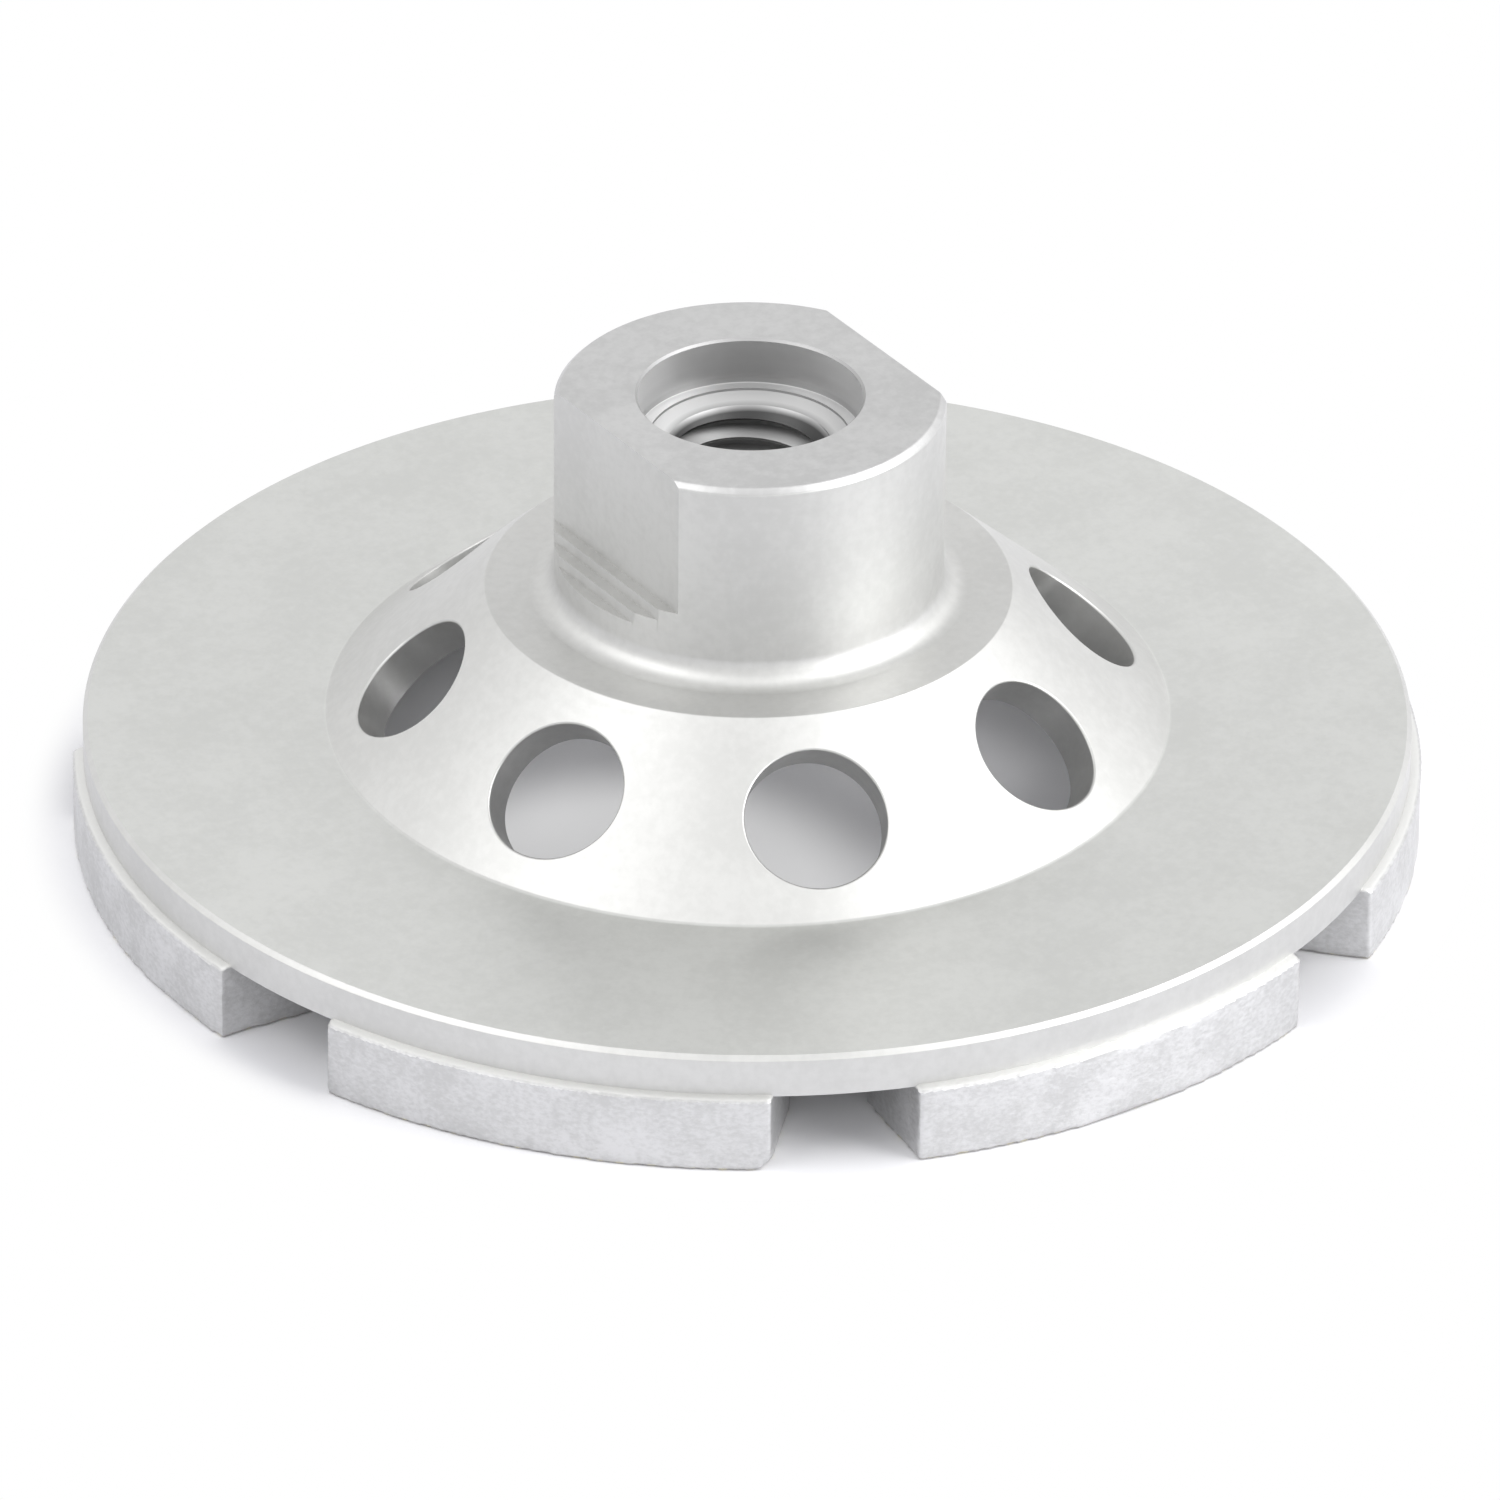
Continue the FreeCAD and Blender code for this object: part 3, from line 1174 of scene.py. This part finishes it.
@dataclass
class Studio:
    """Plain pale floor, soft light and the camera at the photograph's angle."""

    azimuth: float = -34.1
    elevation: float = 30.88
    distance: float = 1200.0
    lens: float = 337.08
    target_z: float = 6.14
    target_right: float = 0.25
    roll: float = 0.53
    world_level: float = 0.77
    floor_glow: float = 0.02
    floor_size: float = 6000.0
    shadow_radius: float = 57.0
    shadow_fade: float = 5.0
    pool_place: tuple[float, float] = (-15.3, -6.5)
    pool_radius: float = 14.0
    pool_fade: float = 10.0
    pool_level: float = 0.41
    lamp_distance: float = 1500.0
    lamps: tuple[Lamp, ...] = (
        Lamp("right_lamp", 80, 45, 1000, 8.9),
        Lamp("left_lamp", -62, 48, 900, 4.9),
        Lamp("low_lamp", 66, 12, 650, 9.0),
        Lamp("rear_right_lamp", 125, 32, 1000, 1.0),
        Lamp("rear_left_lamp", -115, 30, 900, 0.5),
    )

    def direction(self, azimuth: float, elevation: float) -> Vector:
        """Direction from the object to a place in the studio.

        Args:
            azimuth: how far round the place lies from the front, in degrees.
            elevation: how high it lies, in degrees.

        Returns:
            The direction, one metre long.
        """
        turn = math.radians(azimuth)
        rise = math.radians(elevation)
        level = math.cos(rise)
        return Vector((math.sin(turn) * level, -math.cos(turn) * level, math.sin(rise)))

    def add_camera(self) -> None:
        """Place the camera and aim it at the wheel."""
        turn = math.radians(self.azimuth)
        right = Vector((math.cos(turn), math.sin(turn), 0))
        target = right * self.target_right * MM + Vector((0, 0, self.target_z * MM))
        place = self.direction(self.azimuth, self.elevation) * self.distance * MM
        bpy.ops.object.camera_add(location=place)
        camera = bpy.context.object
        aim = (target - place).to_track_quat("-Z", "Y").to_matrix()
        camera.rotation_euler = (aim @ Matrix.Rotation(math.radians(self.roll), 3, "Z")).to_euler()
        camera.data.lens = self.lens
        camera.data.sensor_width = 36.0
        camera.data.clip_start = 0.1
        camera.data.clip_end = 20.0
        bpy.context.scene.camera = camera

    def add_floor(self) -> None:
        """Lay a white floor with the shadow near the rim and a pool of light under the dome.

        The metal shows the lit floor, which is white by itself, so the end of the shadow and the
        pool are for the camera alone.
        """
        graph = Graph.of_material("white_floor")
        _, x, y, _ = graph.place()
        across = x - self.pool_place[0] * MM
        along = y - self.pool_place[1] * MM
        off_pool = (across * across + along * along).sqrt()
        pool = 1.0 - off_pool.ramp(self.pool_radius * MM, (self.pool_radius + self.pool_fade) * MM)
        radius = (x * x + y * y).sqrt()
        beyond = radius.ramp(self.shadow_radius * MM, (self.shadow_radius + self.shadow_fade) * MM)
        plain = graph.add("ShaderNodeBsdfDiffuse", None, {"Color": (0.9, 0.9, 0.9)}).outputs[0]
        white = graph.add("ShaderNodeBsdfDiffuse", None, {"Color": (0.95, 0.95, 0.96)}).outputs[0]
        glow = graph.add("ShaderNodeEmission", None, {"Strength": self.floor_glow}).outputs[0]
        shown = graph.add("ShaderNodeAddShader", None, {0: white, 1: glow}).outputs[0]
        clear = graph.add("ShaderNodeEmission", None, {"Strength": 1.0}).outputs[0]
        both = graph.add("ShaderNodeMixShader", None, {0: graph.seen(), 1: plain, 2: shown}).outputs[0]
        camera_ray = Value(graph, graph.add("ShaderNodeLightPath").outputs["Is Camera Ray"])
        bright = camera_ray * (beyond + self.pool_level * pool)
        lit = graph.add("ShaderNodeMixShader", None, {0: bright, 1: both, 2: clear}).outputs[0]
        material = graph.surface(lit)
        material.cycles.emission_sampling = "NONE"
        bpy.ops.mesh.primitive_plane_add(size=self.floor_size * MM, location=(0, 0, -NEAR * MM))
        floor = Workpiece("floor")
        floor.paint(material)

    def add_world(self) -> None:
        """Surround the object with even pale light, which the camera and the metal see as white."""
        world = bpy.data.worlds.new("studio")
        bpy.context.scene.world = world
        graph = Graph(world)
        seen = graph.seen()
        level = self.world_level + (1.0 - self.world_level) * seen
        colour = graph.mix(seen, (0.96, 0.96, 1.0), (1, 1, 1))
        white = graph.add("ShaderNodeBackground", None, {"Color": colour, "Strength": level})
        graph.add("ShaderNodeOutputWorld", None, {"Surface": white.outputs[0]})

    def add_lamp(self, lamp: Lamp) -> None:
        """Hang one lamp.

        Args:
            lamp: its place, size and power.
        """
        away = self.direction(self.azimuth + lamp.azimuth, lamp.elevation)
        bpy.ops.object.light_add(type="AREA", location=away * self.lamp_distance * MM)
        light = bpy.context.object
        light.name = lamp.name
        light.rotation_euler = away.to_track_quat("Z", "Y").to_euler()
        light.data.shape = "SQUARE"
        light.data.size = lamp.size * MM
        light.data.energy = lamp.power

    def build(self) -> None:
        """Set up the whole studio."""
        self.add_camera()
        self.add_floor()
        self.add_world()
        for lamp in self.lamps:
            self.add_lamp(lamp)
        bpy.context.scene.view_settings.view_transform = "Standard"


def main() -> None:
    """Build the studio and every piece of the wheel, and log each piece."""
    logging.basicConfig(level=logging.INFO, format="%(message)s")
    start_clean()
    Studio().build()
    low, high = (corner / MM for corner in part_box("wheel_body"))
    finishes = {
        Surface.TURNED: MetalFinish("turned_silver", (0.57, 0.57, 0.56), (0.615, 0.615, 0.605), 0.46),
        # Painted light and shade in the bore: pale at the mouth, dark over the lead-in and first
        # groove, mid grey and paler further down.
        Surface.THREADED: BoreLightAndShadeFinish(
            "tapped_steel_painted_shade",
            (0.07, 0.07, 0.07),
            (0.6, 0.6, 0.6),
            top_z=high.z,
            light_and_shade_bands=((4.4, 0.87), (4.8, 1), (5.42, 0), (6.25, 0), (6.45, 0.49), (7.4, 0.49), (7.8, 0.72)),
        ),
        Surface.UNDERSIDE: MetalFinish("inner_silver", (0.61, 0.61, 0.61), (0.66, 0.66, 0.66), 0.5),
        Surface.FACED: MetalFinish("faced_silver", (0.53, 0.53, 0.53), (0.60, 0.60, 0.60)),
        Surface.FLANGE: MetalFinish("flange_silver", (0.615, 0.62, 0.605), (0.66, 0.665, 0.65)),
        # Painted shade: the flange's underside is darkened.
        Surface.SEAT: MetalFinish("seat_painted_shade", (0.32, 0.32, 0.32), (0.37, 0.37, 0.37), 0.5),
        # Painted light and shade in the counterbore: a dark lip, a wall that darkens towards its foot,
        # and a pale floor.
        Surface.BORED: BoreLightAndShadeFinish(
            "bored_silver_painted_shade",
            (0.35, 0.35, 0.35),
            (0.75, 0.75, 0.75),
            roughness=0.46,
            top_z=high.z,
            light_and_shade_bands=(
                (0.2, 0.175),
                (0.25, 0.925),
                (2.1, 0.925),
                (3.0, 0.725),
                (3.45, 0.45),
                (3.7, 0.125),
                (4.1, 0),
                (4.16, 1),
            ),
        ),
    }
    surfaces = {surface: finish.material() for surface, finish in finishes.items()}
    milled = MilledFinish("milled_silver", (0.51, 0.51, 0.50), (0.57, 0.57, 0.56)).material()
    # Painted shade: the air holes' walls are given a dark colour.
    drilled = MetalFinish("drilled_painted_shade", (0.22, 0.22, 0.22), (0.26, 0.26, 0.26), 0.5).material()
    segment_low, segment_high = (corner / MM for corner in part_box("diamond_segment_1"))
    sintered = SinteredFinish(
        "sintered_silver",
        colour=(0.55, 0.55, 0.55),
        pale=(0.665, 0.665, 0.67),
        bare=(0.42, 0.41, 0.39),
        grain=(0.62, 0.58, 0.42),
        # Paler braze fillet, partly a painted highlight along the ledge.
        braze_and_highlight=(0.74, 0.74, 0.73),
        braze_z=segment_high.z,
    ).material()
    body = WheelBody(rim_radius=high.x, seat_z=low.z, top_z=high.z)
    body.build(BodyFinishes(surfaces, milled, drilled))
    thread_top = body.lead_z + body.thread_chamfer
    thread = SpindleThread(thread_top, body.ceiling_z, body.thread_chamfer, body.thread_radius)
    thread.build(surfaces[Surface.THREADED])
    SegmentRing(outer_radius=-segment_low.y, height=segment_high.z).build(sintered)


if __name__ == "__main__":
    main()
